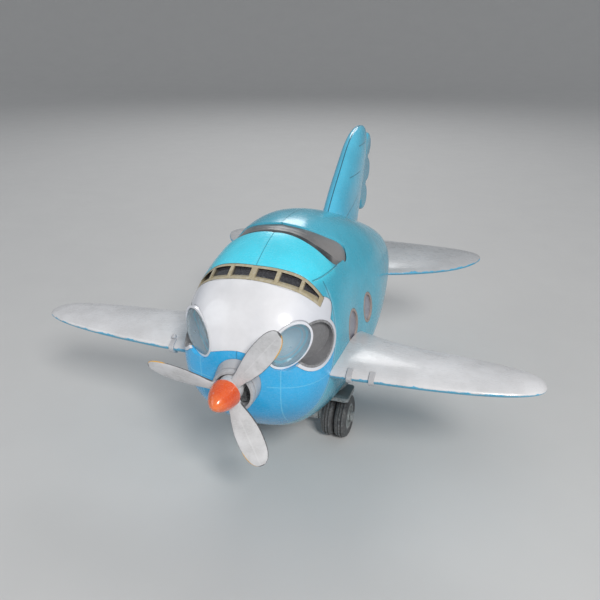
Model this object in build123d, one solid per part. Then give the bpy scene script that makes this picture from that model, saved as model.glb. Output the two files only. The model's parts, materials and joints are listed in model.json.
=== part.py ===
"""Toy airplane: a chubby push-along propeller plane with twin main wheels.

Millimetres, +Z up, nose towards -Y, the plane's own left wing towards +X.  The origin lies on the
floor, under the middle of the bounding box.  Places along the plane are given as stations, which
are distances behind the spinner's tip, and heights are above the floor.
"""
from build123d import *
from functools import lru_cache
import math
import os

# ---------------------------------------------------------------- driving dimensions
LENGTH = 240.0           # spinner tip to the fin's trailing edge
AXIS_HEIGHT = 70.7       # propeller axis above the floor
WING_HEIGHT = 67.4       # wing chord plane above the floor
STAB_HEIGHT = 71.5       # stabilizer chord plane above the floor
WALL = 2.2               # moulded shell thickness
SKIN = 1.1               # thickness of panels let into the shell
SEAM = 0.12              # gap all round a panel
FIT = 0.05               # gap between faces that touch in assembly
RUNNING = 0.05           # radial clearance of everything that turns

# Hull sections: station, half width, top height, bottom height
HULL = (
    (23.0, 7.7, 82.1, 57.6),
    (26.0, 19.0, 92.5, 51.5),
    (30.0, 26.2, 99.6, 47.2),
    (42.0, 32.9, 109.9, 37.2),
    (59.0, 35.0, 117.8, 29.2),
    (83.0, 35.4, 122.0, 21.6),
    (112.0, 38.4, 118.6, 25.6),
    (140.0, 37.0, 109.2, 39.6),
    (167.0, 31.5, 98.6, 56.4),
    (188.0, 20.5, 90.6, 69.0),
    (200.0, 9.0, 86.4, 76.6),
    (204.0, 3.0, 84.0, 80.0),
)
HULL_POWER = 2.3         # superellipse exponent of the hull's cross-section
HULL_POINTS = 28         # spline points round one section
HULL_MIDDLE = 113.0      # station about which the inner surfaces shrink
HULL_HALF_LENGTH = 90.0
HULL_HALF_WIDTH = 38.4
HULL_HALF_HEIGHT = 50.0
BEYOND = 60.0            # reach of a cutting tool well past the hull

# Propeller group
SPINNER_LENGTH = 11.5
SPINNER_RADIUS = 6.3
PROP_RADIUS = 36.0
HUB_START = 11.6
HUB_END = 16.8
HUB_RADIUS = 5.4
BLADES = 3
BLADE_PITCH = 25.0
FIRST_BLADE = 51.8       # angle of the first blade from +X towards +Z
BLADE = (                # distance from the axis, chord, thickness
    (3.5, 5.0, 2.6),
    (8.0, 6.2, 2.3),
    (14.0, 9.0, 1.9),
    (21.0, 10.9, 1.6),
    (28.0, 10.6, 1.4),
    (32.5, 8.6, 1.2),
    (35.2, 5.0, 1.0),
    (36.0, 2.2, 0.8),
)
SHAFT_RADIUS = 1.5
SHAFT_START = 6.0
SHAFT_END = 52.0
RETAINER_RADIUS = 3.0
COWL = (                 # station, centre height, half width, half height
    (17.4, 67.9, 9.2, 9.2),
    (20.0, 68.5, 9.6, 9.8),
    (27.2, 71.1, 10.2, 11.9),
)
COWL_BACK = 27.2
COWL_BORE = 8.0
COWL_GROOVE = 19.2       # station of the ring groove
COWL_GROOVE_DEPTH = 0.45
INTAKE_START = 22.6
INTAKE_END = 24.4
BUSHING_RADIUS = 4.4
BUSHING_SLEEVE = 3.4
BUSHING_END = 46.0

# Landing lamp and cheek scoop on the left side; the right side is their mirror image
LAMP_CENTRE = (19.7, 31.0, 86.0)
LAMP_AXIS = (0.50, -0.86, 0.10)
LAMP_HALF_LONG = 11.4
LAMP_HALF_WIDE = 7.6
LAMP_LEAN = 47.0         # slope of the lamp's long axis, outwards and up
LAMP_RING = 1.0
LENS_CROWN = 2.2
LENS_WALL = 1.2
BOWL_RADIUS = 16.0
BOWL_CENTRE = 11.5
LAMP_FRONT = 1.4
LAMP_DEPTH = 7.0
LAMP_POCKET = 20.0       # depth of the cut that clears the lamp out of other panels
SCOOP_CENTRE = (28.3, 38.2, 84.7)
SCOOP_AXIS = (0.83, -0.56, 0.0)
SCOOP_HALF_WIDTH = 11.6
SCOOP_HALF_HEIGHT = 9.3
SCOOP_LIP = 1.5
SCOOP_DEPTH = 5.2
SCOOP_FLOOR = 1.2
SCOOP_WALL = 1.0
SCOOP_SET_BACK = 0.15

# Windshield band: edges as (x, height) from the centre line to the side
BAND_TOP = ((0.0, 112.1), (12.0, 111.1), (19.6, 108.3), (25.0, 103.8), (28.2, 99.6))
BAND_LOW = ((0.0, 108.3), (10.0, 107.4), (19.4, 104.5), (24.0, 101.6), (28.0, 97.6))
PANE_SPANS = ((1.3, 9.6), (11.2, 19.6), (20.8, 26.8))
PANE_BORDER = 0.6
FACE_DEPTH = 56.0        # face panels are cut from the front back to this station
FRAME_SKIN = 1.0
GLAZING = 0.9
MASK_LOW = ((0.0, 83.5), (7.0, 82.2), (15.0, 79.6), (24.0, 78.2), (29.6, 82.0))
MASK_HIGH = ((0.0, 108.1), (10.0, 107.2), (19.4, 104.4), (27.0, 101.0), (29.3, 98.8), (31.2, 94.0), (31.8, 90.0))

# Roof recess behind the cockpit hood, as (x, station) from the centre line to the side
RECESS_FRONT = ((0.0, 67.0), (14.0, 67.0), (21.0, 67.3), (25.0, 68.6), (26.8, 70.8), (27.2, 73.0))
RECESS_REAR = ((0.0, 77.0), (13.4, 78.4), (19.0, 82.0), (22.6, 86.4), (25.4, 88.4), (27.4, 86.4), (27.8, 80.0))
RECESS_STEP = ((0.0, 70.7), (15.0, 70.6), (20.0, 71.6), (24.0, 74.2), (27.0, 78.6))
RECESS_DEPTH = 3.0
RECESS_FLOOR = 1.2
VENT_DEPTH = 0.9
RECESS_LOW = 104.0

# Portholes: station, height, half length, half height and forward lean of each one on a side
PORTHOLES = {"front": (74.9, 76.2, 7.4, 9.4, 24.0), "rear": (96.6, 76.8, 5.6, 8.4, 16.0)}
PORTHOLE_RIM = 1.3
PANE_SET_BACK = 0.7

# Wing and stabilizer sections: distance from the centre plane, leading edge, trailing edge, thickness
WING = (
    (26.0, 43.2, 91.5, 9.4),
    (36.0, 43.6, 88.2, 9.2),
    (46.0, 44.0, 84.4, 8.8),
    (60.0, 44.8, 81.0, 8.2),
    (78.0, 46.2, 79.0, 7.4),
    (96.0, 48.8, 76.9, 6.4),
    (108.0, 51.8, 74.6, 5.3),
    (115.0, 54.8, 71.8, 4.0),
    (119.0, 58.2, 67.6, 2.2),
    (120.0, 61.0, 64.4, 0.9),
)
STAB = (
    (0.4, 146.0, 213.6, 7.6),
    (18.0, 150.5, 213.6, 7.4),
    (30.0, 155.0, 213.6, 7.0),
    (44.0, 160.6, 213.4, 6.4),
    (58.0, 167.8, 212.8, 5.7),
    (70.0, 177.0, 211.2, 4.7),
    (77.0, 185.8, 208.6, 3.5),
    (80.5, 193.0, 204.6, 2.1),
    (81.6, 196.8, 201.0, 0.9),
)
FOIL_POINTS = 26
FOIL_NOSE = 0.5          # exponents of the section's nose and tail
FOIL_TAIL = 0.7
WING_SKIN = 1.5
CAVITY_MARGIN = 3.0      # solid leading and trailing edges
WING_CAVITY_END = 100.0
STAB_CAVITY_END = 60.0
SPAR_HALF = 72.0
SPAR_STATION = 64.0
SPAR_WIDTH = 12.0
SPAR_THICKNESS = 3.0
TAIL_SPAR_HALF = 50.0
TAIL_SPAR_STATION = 183.0
TAIL_SPAR_WIDTH = 10.0
TAIL_SPAR_THICKNESS = 2.0
HOOKS_LEFT = (41.5, 51.0)
HOOKS_RIGHT = (42.0,)
HOOK_WIDTH = 2.2
HOOK_THICKNESS = 1.1
HOOK_REACH = 3.2
HOOK_KNOB = 1.2

# Fin sections: height, leading edge, trailing edge, thickness
FIN = (
    (86.0, 130.0, 211.0, 17.0),
    (99.4, 141.0, 219.0, 15.5),
    (112.0, 156.0, 226.0, 13.5),
    (125.0, 173.0, 230.5, 12.0),
    (134.0, 185.0, 231.5, 10.2),
    (139.5, 195.0, 229.0, 8.0),
    (142.4, 204.0, 224.0, 5.2),
    (143.6, 210.0, 218.0, 2.4),
)
FIN_SKIN = 1.6
FIN_CAVITY_TOP = 134.0
FIN_LOBES = ((129.0, 232.0, 8.0), (113.4, 231.3, 8.5), (97.0, 225.6, 8.8))
FIN_LOBE_THICKNESS = 5.0
FIN_LOBE_REACH = 14.0    # how far the lobed plate reaches forward into the fin
FIN_TAB = (168.0, 188.0)
FIN_TAB_HALF = 3.0
FIN_TAB_LOW = 82.0
FIN_TAB_HIGH = 102.0
TAIL_LIGHT_HEIGHT = 130.5
TAIL_LIGHT_STATION = 225.5
TAIL_LIGHT_LENGTH = 3.4
TAIL_LIGHT_DEPTH = 0.8
TAIL_LIGHT_TALL = 12.5

# Undercarriage
AXLE_STATION = 98.5
WHEEL_RADIUS = 11.5
TYRE_WIDTH = 6.4
RIM_RADIUS = 6.6
WHEELS = {"inner": 19.2, "outer": 26.2}
AXLE_RADIUS = 1.2
AXLE_HALF = 30.4
AXLE_CAP_RADIUS = 2.6
AXLE_CAP_LENGTH = 1.3
BEAM_RADIUS = 4.4
BEAM_HALF = 12.8
LEG_INNER = 13.0
LEG_ARM = 2.6
FENDER_GAP = 1.0
FENDER_THICKNESS = 2.2
FENDER_OUTER = 29.6
STRAP_TOP = 52.0
STRAP_WIDTH = 8.0
STRAP_THICKNESS = 1.8
TAIL_WHEEL_STATION = 146.0
TAIL_WHEEL_RADIUS = 8.0
TAIL_WHEEL_WIDTH = 6.0
TAIL_RIM_RADIUS = 4.6
FORK_ARM = 2.0
FORK_CROWN = 18.0

# Screws that hold the two hull halves together: station and height
SCREWS = ((58.0, 50.0), (126.0, 56.0), (128.0, 100.0), (172.0, 82.0))
SCREW_RADIUS = 1.2
SCREW_HEAD_RADIUS = 2.4
SCREW_HEAD_LENGTH = 1.8
SCREW_LENGTH = 26.0
SCREW_HEAD_X = -9.0
BOSS_RADIUS = 3.4


# ---------------------------------------------------------------- placing helpers
def along(station):
    """Y of a station."""
    return station - LENGTH / 2.0


def place(point):
    """An (x, station, height) triple as a point in the plane's frame."""
    return Vector(point[0], along(point[1]), point[2])


def mirrored(shape):
    """The same shape on the other side of the centre plane."""
    return mirror(shape, about=Plane.YZ)


def both_sides(shape):
    return shape + mirrored(shape)


def signed_power(value, power):
    return math.copysign(abs(value) ** power, value)


def block(x_from, x_to, station_from, station_to, low, high):
    """A box between two x, two stations and two heights."""
    middle_x = (x_from + x_to) / 2.0
    middle_y = along((station_from + station_to) / 2.0)
    box = Box(x_to - x_from, station_to - station_from, high - low)
    return Pos(middle_x, middle_y, (low + high) / 2.0) * box


def rod(radius, start, end, x=0.0, height=AXIS_HEIGHT):
    """A round bar along the plane between two stations."""
    bar = Rot(90, 0, 0) * Cylinder(radius, end - start)
    return Pos(x, along((start + end) / 2.0), height) * bar


def cross_rod(radius, x_from, x_to, station, height):
    """A round bar across the plane between two x."""
    bar = Rot(0, 90, 0) * Cylinder(radius, x_to - x_from)
    return Pos((x_from + x_to) / 2.0, along(station), height) * bar


def largest(shape):
    """The biggest solid of a cut, which drops slivers left at its edges."""
    return max(shape.solids(), key=lambda solid: solid.volume)


def tilted_frame(centre, axis):
    """A frame at a point whose Z looks out along a direction and whose X is level."""
    level = Vector(axis[1], -axis[0], 0)
    return Plane(origin=place(centre), x_dir=level, z_dir=Vector(*axis))


def oval_prism(frame, half_x, half_y, back, front, turn=0.0):
    """An elliptic cylinder on a frame from back to front, turned about the frame's Z."""
    return frame * (Pos(0, 0, back) * Rot(0, 0, turn) * extrude(Ellipse(half_x, half_y), front - back))


LEFT_SIDE = block(0, LENGTH, -LENGTH, 2 * LENGTH, -LENGTH, 2 * LENGTH)


# ---------------------------------------------------------------- hull surfaces
def hull_section(station, half_width, middle, half_height):
    points = []
    for index in range(HULL_POINTS):
        angle = 2.0 * math.pi * (index + 0.5) / HULL_POINTS
        x = half_width * signed_power(math.cos(angle), 2.0 / HULL_POWER)
        z = middle + half_height * signed_power(math.sin(angle), 2.0 / HULL_POWER)
        points.append((x, along(station), z))
    return make_face(Spline(*points, periodic=True))


@lru_cache(maxsize=None)
def half_hull(inset):
    """The left half of the hull's solid, shrunk by an inset that is nearly even all round."""
    sections = []
    for station, half_width, top, bottom in HULL:
        station = HULL_MIDDLE + (station - HULL_MIDDLE) * (1.0 - inset / HULL_HALF_LENGTH)
        half_width *= 1.0 - inset / HULL_HALF_WIDTH
        half_height = (top - bottom) / 2.0 * (1.0 - inset / HULL_HALF_HEIGHT)
        sections.append(hull_section(station, half_width, (top + bottom) / 2.0, half_height))
    return loft(sections) & LEFT_SIDE


@lru_cache(maxsize=None)
def half_layer(outside, inside):
    """The left half of the hull's material between two insets."""
    return half_hull(outside) - half_hull(inside)


# ---------------------------------------------------------------- regions of the hull
def grown(edge, amount):
    """An edge whose second coordinate, height or station, grows by an amount."""
    return [(x, second + amount) for x, second in edge]


def widened(edge, amount):
    """An edge whose last point is moved outwards by an amount."""
    return list(edge[:-1]) + [(edge[-1][0] + amount, edge[-1][1])]


def outline_face(one_edge, other_edge):
    """A face between two edges that both run from the centre line to the side."""
    return make_face([
        Spline(*one_edge),
        Line(one_edge[-1], other_edge[-1]),
        Spline(*other_edge),
        Line(other_edge[0], one_edge[0]),
    ])


def front_prism(upper, lower):
    """A left-side prism along the plane between two (x, height) edges."""
    solid = Rot(90, 0, 0) * extrude(outline_face(upper, lower), FACE_DEPTH)
    return Pos(0, along(FACE_DEPTH), 0) * solid


def top_prism(front, rear):
    """A left-side prism straight up between two (x, station) edges."""
    front_points = [(x, along(station)) for x, station in front]
    rear_points = [(x, along(station)) for x, station in rear]
    return Pos(0, 0, RECESS_LOW) * extrude(outline_face(front_points, rear_points), BEYOND)


def band_region(grow):
    upper = widened(grown(BAND_TOP, grow), grow)
    lower = widened(grown(BAND_LOW, -grow), grow)
    return front_prism(upper, lower)


def pane_region():
    """The openings of the windshield's left half, one per span."""
    opening = front_prism(grown(BAND_TOP, -PANE_BORDER), grown(BAND_LOW, PANE_BORDER))
    slices = [block(near, far, 0, FACE_DEPTH, 90, 120) for near, far in PANE_SPANS]
    return opening & Compound(slices)


def scoop_region(grow, back=-12.0, front=12.0):
    frame = tilted_frame(SCOOP_CENTRE, SCOOP_AXIS)
    return oval_prism(frame, SCOOP_HALF_WIDTH + grow, SCOOP_HALF_HEIGHT + grow, back, front)


def lamp_region(grow, back=-LAMP_DEPTH, front=12.0):
    frame = tilted_frame(LAMP_CENTRE, LAMP_AXIS)
    return oval_prism(frame, LAMP_HALF_LONG + grow, LAMP_HALF_WIDE + grow, back, front, LAMP_LEAN)


def mask_region(grow):
    upper = [(x + grow, height) for x, height in MASK_HIGH[1:]]
    return front_prism([MASK_HIGH[0]] + upper, grown(MASK_LOW, -grow)) + scoop_region(SCOOP_LIP + grow)


def recess_region(grow):
    front = widened(grown(RECESS_FRONT, -grow), grow)
    rear = widened(grown(RECESS_REAR, grow), grow)
    return top_prism(front, rear)


def vent_region():
    return top_prism(RECESS_STEP, RECESS_REAR) & recess_region(0.0)


def porthole_region(name, inset):
    """An oval bar, leaning forward, that leaves the left side of the hull at a porthole."""
    station, height, half_length, half_height, lean = PORTHOLES[name]
    frame = Plane(origin=place((0.0, station, height)), x_dir=(0, 1, 0), z_dir=(1, 0, 0))
    return oval_prism(frame, half_length - inset, half_height - inset, 15.0, BEYOND, lean)


# ---------------------------------------------------------------- hull shell
def screw_bosses():
    """Round posts across the left half of the hull that end on the centre plane."""
    posts = [cross_rod(BOSS_RADIUS, 0, BEYOND, station, height) for station, height in SCREWS]
    return Compound(posts) & half_hull(WALL - FIT)


def screw_shanks(start, end):
    rods = [cross_rod(SCREW_RADIUS, start, end, station, height) for station, height in SCREWS]
    return Compound(rods)


def screw_wells():
    """Deep round wells that take the screw heads, through the right side of the hull."""
    radius = SCREW_HEAD_RADIUS + SEAM
    rods = [cross_rod(radius, -BEYOND, SCREW_HEAD_X, station, height) for station, height in SCREWS]
    return Compound(rods)


def slot(half_width, station, width, height, thickness):
    """An opening across the hull for a spar."""
    near = station - width / 2 - FIT
    far = station + width / 2 + FIT
    return block(-half_width, half_width, near, far, height - thickness / 2 - FIT, height + thickness / 2 + FIT)


def half_shell():
    """The left half of the blue shell with every pocket and opening."""
    shell = half_layer(0.0, WALL) + screw_bosses()
    shell -= mask_region(SEAM) - half_hull(SKIN + FIT)
    shell -= band_region(SEAM)
    shell -= lamp_region(SEAM)
    shell -= scoop_region(SEAM)
    shell -= recess_region(SEAM)
    shell -= cowl_body(FIT)
    for name in PORTHOLES:
        shell -= porthole_region(name, -SEAM)
    shell -= slot(BEYOND, SPAR_STATION, SPAR_WIDTH, WING_HEIGHT, SPAR_THICKNESS)
    shell -= slot(BEYOND, TAIL_SPAR_STATION, TAIL_SPAR_WIDTH, STAB_HEIGHT, TAIL_SPAR_THICKNESS)
    shell -= block(-FIN_TAB_HALF - FIT, FIN_TAB_HALF + FIT, FIN_TAB[0] - FIT, FIN_TAB[1] + FIT, 80, 110)
    return largest(shell)


def face_mask():
    skin = half_layer(0.0, SKIN) & mask_region(0.0)
    skin -= scoop_region(0.0)
    skin -= band_region(SEAM)
    skin -= lamp_region(SEAM, -LAMP_POCKET)
    skin -= cowl_body(SEAM)
    return both_sides(largest(skin))


def windshield_frame():
    return both_sides(largest((half_layer(0.0, FRAME_SKIN) & band_region(0.0)) - pane_region()))


def windshield_glazing():
    return both_sides(largest(half_layer(FRAME_SKIN + FIT, FRAME_SKIN + FIT + GLAZING) & band_region(0.0)))


def roof_vent():
    """The grey insert behind the hood: a deep groove in front and a raised vent panel behind."""
    floor = half_layer(RECESS_DEPTH, RECESS_DEPTH + RECESS_FLOOR) & recess_region(0.0)
    panel = half_layer(VENT_DEPTH, RECESS_DEPTH + RECESS_FLOOR) & vent_region()
    return both_sides(largest(floor + panel))


def porthole_rim(name):
    ring = porthole_region(name, 0.0) - porthole_region(name, PORTHOLE_RIM)
    return largest(half_layer(0.0, WALL) & ring)


def porthole_panes():
    """The dark panes of one side, set a little behind their rims."""
    panes = [largest(half_layer(PANE_SET_BACK, WALL) & porthole_region(name, PORTHOLE_RIM + FIT)) for name in PORTHOLES]
    return Compound(panes)


# ---------------------------------------------------------------- lamps and scoops
def lamp_bezel():
    tube = lamp_region(0.0, -LAMP_DEPTH, LAMP_FRONT) - lamp_region(FIT - LAMP_RING, -LAMP_DEPTH, LAMP_FRONT)
    return largest(tube)


def lamp_reflector():
    frame = tilted_frame(LAMP_CENTRE, LAMP_AXIS)
    bowl = lamp_region(-LAMP_RING, -LAMP_DEPTH, -1.6)
    return largest(bowl - frame * (Pos(0, 0, BOWL_CENTRE) * Sphere(BOWL_RADIUS)))


def lamp_lens():
    """A clear dished disc with an even wall."""
    frame = tilted_frame(LAMP_CENTRE, LAMP_AXIS)
    reach = LAMP_HALF_LONG - LAMP_RING
    radius = (reach ** 2 + LENS_CROWN ** 2) / (2.0 * LENS_CROWN)
    crown = LAMP_FRONT - 0.4 + LENS_CROWN
    outside = frame * (Pos(0, 0, crown - radius) * Sphere(radius))
    inside = frame * (Pos(0, 0, crown - radius) * Sphere(radius - LENS_WALL))
    return largest((lamp_region(-LAMP_RING, -1.4, 12.0) & outside) - inside)


def cheek_scoop():
    """The grey cup beside the lamp, trimmed to the hull's surface."""
    cup = scoop_region(-FIT, -SCOOP_DEPTH) - scoop_region(-SCOOP_WALL, SCOOP_FLOOR - SCOOP_DEPTH)
    cup -= lamp_region(SEAM, -LAMP_POCKET)
    return largest(cup & half_hull(SCOOP_SET_BACK))


# ---------------------------------------------------------------- nose and propeller
def turned(profile):
    """A solid of revolution round the propeller axis from (station, radius) corners."""
    points = [(radius, station) for station, radius in profile]
    solid = revolve(make_face(Polyline(*points, close=True)), axis=Axis.Y)
    return Pos(0, along(0), AXIS_HEIGHT) * solid


def cowl_body(grow=0.0):
    """The cowl's outside: a ring that drops forward from the foot of the face mask."""
    rings = []
    for station, height, half_width, half_height in COWL:
        frame = Plane(origin=place((0.0, station, height)), x_dir=(1, 0, 0), z_dir=(0, 1, 0))
        rings.append(frame * Ellipse(half_width + grow, half_height + grow))
    return loft(rings)


def cowl_bore(radius, start, end):
    return rod(radius, start, end, height=COWL[0][1])


def nose_cowl():
    groove = cowl_bore(BEYOND, COWL_GROOVE - 0.2, COWL_GROOVE + 0.2)
    groove -= cowl_body(-COWL_GROOVE_DEPTH)
    cowl = cowl_body() - cowl_bore(COWL_BORE, 0, FACE_DEPTH) - groove
    return largest(cowl)


def intake_plate():
    """The dark floor of the intake, with a hole for the bushing."""
    plate = cowl_bore(COWL_BORE - FIT, INTAKE_START, INTAKE_END)
    return largest(plate - rod(BUSHING_RADIUS + FIT, 0, FACE_DEPTH))


def shaft_bushing():
    """A flanged sleeve on the propeller axis, waisted where it passes the cowl."""
    hole = SHAFT_RADIUS + RUNNING
    front = HUB_END + 0.5
    return turned((
        (front, hole),
        (front, BUSHING_RADIUS - 0.8),
        (front + 0.8, BUSHING_RADIUS),
        (COWL_BACK, BUSHING_RADIUS),
        (COWL_BACK, BUSHING_SLEEVE),
        (BUSHING_END, BUSHING_SLEEVE),
        (BUSHING_END, hole),
    ))


def spinner():
    """An ogive nose cone with a blind bore for the shaft."""
    rise = Spline((0.0, 0.0), (2.3, 1.5), (4.4, 4.6), (5.8, 8.4), (SPINNER_RADIUS, SPINNER_LENGTH))
    base = Line((SPINNER_RADIUS, SPINNER_LENGTH), (0.0, SPINNER_LENGTH))
    axis_line = Line((0.0, SPINNER_LENGTH), (0.0, 0.0))
    cone = revolve(make_face([rise, base, axis_line]), axis=Axis.Y)
    cone = Pos(0, along(0), AXIS_HEIGHT) * cone
    return largest(cone - rod(SHAFT_RADIUS, SHAFT_START, SPINNER_LENGTH + 1))


def blade():
    """One twisted paddle blade pointing straight up from the axis."""
    pitch = math.radians(BLADE_PITCH)
    chord_way = Vector(-math.cos(pitch), math.sin(pitch), 0)
    sections = []
    for distance, chord, thickness in BLADE:
        centre = Vector(0, along((HUB_START + HUB_END) / 2.0), AXIS_HEIGHT + distance)
        frame = Plane(origin=centre, x_dir=chord_way, z_dir=(0, 0, 1))
        sections.append(frame * Ellipse(chord / 2.0, thickness / 2.0))
    return loft(sections)


def propeller():
    hub = rod(HUB_RADIUS, HUB_START, HUB_END)
    axis = Axis((0, 0, AXIS_HEIGHT), (0, 1, 0))
    upright = blade()
    for index in range(BLADES):
        angle = FIRST_BLADE - 90.0 + 360.0 / BLADES * index
        hub += upright.rotate(axis, -angle)
    return largest(hub - rod(SHAFT_RADIUS, 0, HUB_END + 1))


def propeller_shaft():
    return rod(SHAFT_RADIUS, SHAFT_START, SHAFT_END)


def shaft_retainer():
    """The collar pressed on the shaft behind the bushing."""
    return rod(RETAINER_RADIUS, BUSHING_END + 0.5, SHAFT_END - 1.5) - rod(SHAFT_RADIUS, 0, SHAFT_END + 1)


# ---------------------------------------------------------------- wings, stabilizers and fin
def foil_points(leading, trailing, thickness):
    """Points (station, offset) round a symmetric section."""
    peak = FOIL_NOSE / (FOIL_NOSE + FOIL_TAIL)
    scale = peak ** FOIL_NOSE * (1.0 - peak) ** FOIL_TAIL
    points = []
    for index in range(FOIL_POINTS):
        angle = 2.0 * math.pi * (index + 0.5) / FOIL_POINTS
        share = (1.0 - math.cos(angle)) / 2.0
        half = thickness / 2.0 * share ** FOIL_NOSE * (1.0 - share) ** FOIL_TAIL / scale
        points.append((leading + (trailing - leading) * share, math.copysign(half, math.sin(angle))))
    return points


def surface_solid(sections, height, grow=0.0, margin=0.0, end=None):
    """A wing-like solid on the left side, grown by an amount or shrunk with solid edges."""
    faces = []
    for x, leading, trailing, thickness in sections:
        if end is not None and x > end:
            continue
        leading += margin - grow
        trailing -= margin - grow
        outline = foil_points(leading, trailing, thickness + 2.0 * grow)
        points = [(x, along(station), height + offset) for station, offset in outline]
        faces.append(make_face(Spline(*points, periodic=True)))
    return loft(faces)


def hollow_surface(sections, height, end):
    """A wing-like shell that ends against the hull."""
    solid = surface_solid(sections, height)
    cavity = surface_solid(sections, height, -WING_SKIN, CAVITY_MARGIN - WING_SKIN, end)
    return (solid - cavity) - half_hull(0.0)


def upper_half(shape, height):
    return largest(shape & block(0, LENGTH, -BEYOND, LENGTH + BEYOND, height, height + BEYOND))


def lower_half(shape, height):
    return largest(shape & block(0, LENGTH, -BEYOND, LENGTH + BEYOND, height - BEYOND, height))


def spar(half, station, width, thickness, height):
    return block(-half, half, station - width / 2, station + width / 2, height - thickness / 2, height + thickness / 2)


def wing_hooks(places):
    """Strap hooks that curl over the wing's leading edge, each with a knob at its end."""
    wing = surface_solid(WING, WING_HEIGHT)
    strap = surface_solid(WING, WING_HEIGHT, HOOK_THICKNESS) - wing
    hooks = None
    for x in places:
        leading = WING[1][1]
        cut = block(x - HOOK_WIDTH / 2, x + HOOK_WIDTH / 2, leading - 5, leading + HOOK_REACH, 0, LENGTH)
        knob_height = WING_HEIGHT + WING[1][3] / 2
        knob = Pos(x, along(leading + HOOK_REACH), knob_height) * Sphere(HOOK_KNOB)
        hook = largest((strap & cut) + (knob - wing))
        hooks = hook if hooks is None else hooks + hook
    return hooks


def fin_solid(grow=0.0, top=None):
    faces = []
    for height, leading, trailing, thickness in FIN:
        if top is not None and height > top:
            continue
        outline = foil_points(leading - 2 * grow, trailing + 2 * grow, thickness + 2.0 * grow)
        points = [(offset, along(station), height) for station, offset in outline]
        faces.append(make_face(Spline(*points, periodic=True)))
    return loft(faces)


def fin_lobes():
    """Thinner plate along the fin's trailing edge that ends in three round lobes."""
    half = FIN_LOBE_THICKNESS / 2
    rear = [(along(station), height) for height, station, radius in FIN_LOBES]
    front = [(y - FIN_LOBE_REACH, height) for y, height in reversed(rear)]
    outline = Plane.YZ * make_face(Polyline(*rear, *front, close=True))
    plate = Pos(-half, 0, 0) * extrude(outline, FIN_LOBE_THICKNESS)
    for height, station, radius in FIN_LOBES:
        disc = cross_rod(radius, -half, half, station, height)
        plate += fillet(disc.edges(), FIN_LOBE_THICKNESS * 0.45)
    return plate


def tail_light_bar():
    """The amber bar that crosses the fin."""
    bar = Box(BEYOND, TAIL_LIGHT_LENGTH, TAIL_LIGHT_TALL)
    bar = fillet(bar.edges().filter_by(Axis.X), TAIL_LIGHT_LENGTH * 0.45)
    return Pos(0, along(TAIL_LIGHT_STATION), TAIL_LIGHT_HEIGHT) * bar


def fin_half():
    """The left half of the fin, hollow, cut to sit on the hull, with a tab into the hull."""
    solid = fin_solid() + fin_lobes()
    solid -= fin_solid(-FIN_SKIN, FIN_CAVITY_TOP)
    solid = (solid & LEFT_SIDE) - half_hull(0.0)
    tab = block(0.0, FIN_TAB_HALF, FIN_TAB[0], FIN_TAB[1], FIN_TAB_LOW, FIN_TAB_HIGH)
    solid += tab - half_layer(0.0, WALL)
    solid += tab & half_layer(0.0, WALL)
    return largest(solid - (tail_light_bar() - fin_solid(-TAIL_LIGHT_DEPTH - FIT)))


def tail_lights():
    """Amber inserts, one let into each flank of the fin."""
    skin = fin_solid() - fin_solid(-TAIL_LIGHT_DEPTH)
    return both_sides(largest(skin & tail_light_bar() & LEFT_SIDE))


# ---------------------------------------------------------------- undercarriage
def tyre(radius, width, rim_radius):
    """A round tyre with two grooves, turned about X at the origin."""
    shoulder = width * 0.28
    groove = 0.45
    half = width / 2.0
    corners = [
        (rim_radius, -half + 0.4),
        (rim_radius + 1.4, -half),
        (radius - shoulder, -half),
        (radius - shoulder * 0.35, -half + shoulder * 0.3),
        (radius, -half + shoulder),
    ]
    for middle in (-width * 0.12, width * 0.12):
        corners += [
            (radius, middle - groove / 2 - 0.1),
            (radius - groove, middle - groove / 4),
            (radius - groove, middle + groove / 4),
            (radius, middle + groove / 2 + 0.1),
        ]
    corners += [
        (radius, half - shoulder),
        (radius - shoulder * 0.35, half - shoulder * 0.3),
        (radius - shoulder, half),
        (rim_radius + 1.4, half),
        (rim_radius, half - 0.4),
    ]
    solid = revolve(make_face(Polyline(*corners, close=True)), axis=Axis.Y)
    return Rot(0, 0, -90) * solid


def rim(rim_radius, width, bore):
    """A dished hub turned about X at the origin."""
    half = width / 2.0
    corners = (
        (bore, -half),
        (bore + 1.4, -half),
        (bore + 1.7, -half + 1.2),
        (rim_radius - 1.3, -half + 1.2),
        (rim_radius - 0.9, -half + 0.3),
        (rim_radius, -half + 0.4),
        (rim_radius, half - 0.4),
        (rim_radius - 0.9, half - 0.3),
        (rim_radius - 1.3, half - 1.2),
        (bore + 1.7, half - 1.2),
        (bore + 1.4, half),
        (bore, half),
    )
    solid = revolve(make_face(Polyline(*corners, close=True)), axis=Axis.Y)
    return Rot(0, 0, -90) * solid


def at_axle(shape, x):
    return Pos(x, along(AXLE_STATION), WHEEL_RADIUS) * shape


def at_tail_axle(shape):
    return Pos(0, along(TAIL_WHEEL_STATION), TAIL_WHEEL_RADIUS) * shape


def main_axle():
    return cross_rod(AXLE_RADIUS, -AXLE_HALF, AXLE_HALF, AXLE_STATION, WHEEL_RADIUS)


def axle_caps():
    """The two push-on caps that keep the wheels on the axle."""
    start = WHEELS["outer"] + TYRE_WIDTH / 2 + 0.3
    cap = cross_rod(AXLE_CAP_RADIUS, start, start + AXLE_CAP_LENGTH, AXLE_STATION, WHEEL_RADIUS)
    return both_sides(cap - main_axle())


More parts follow.
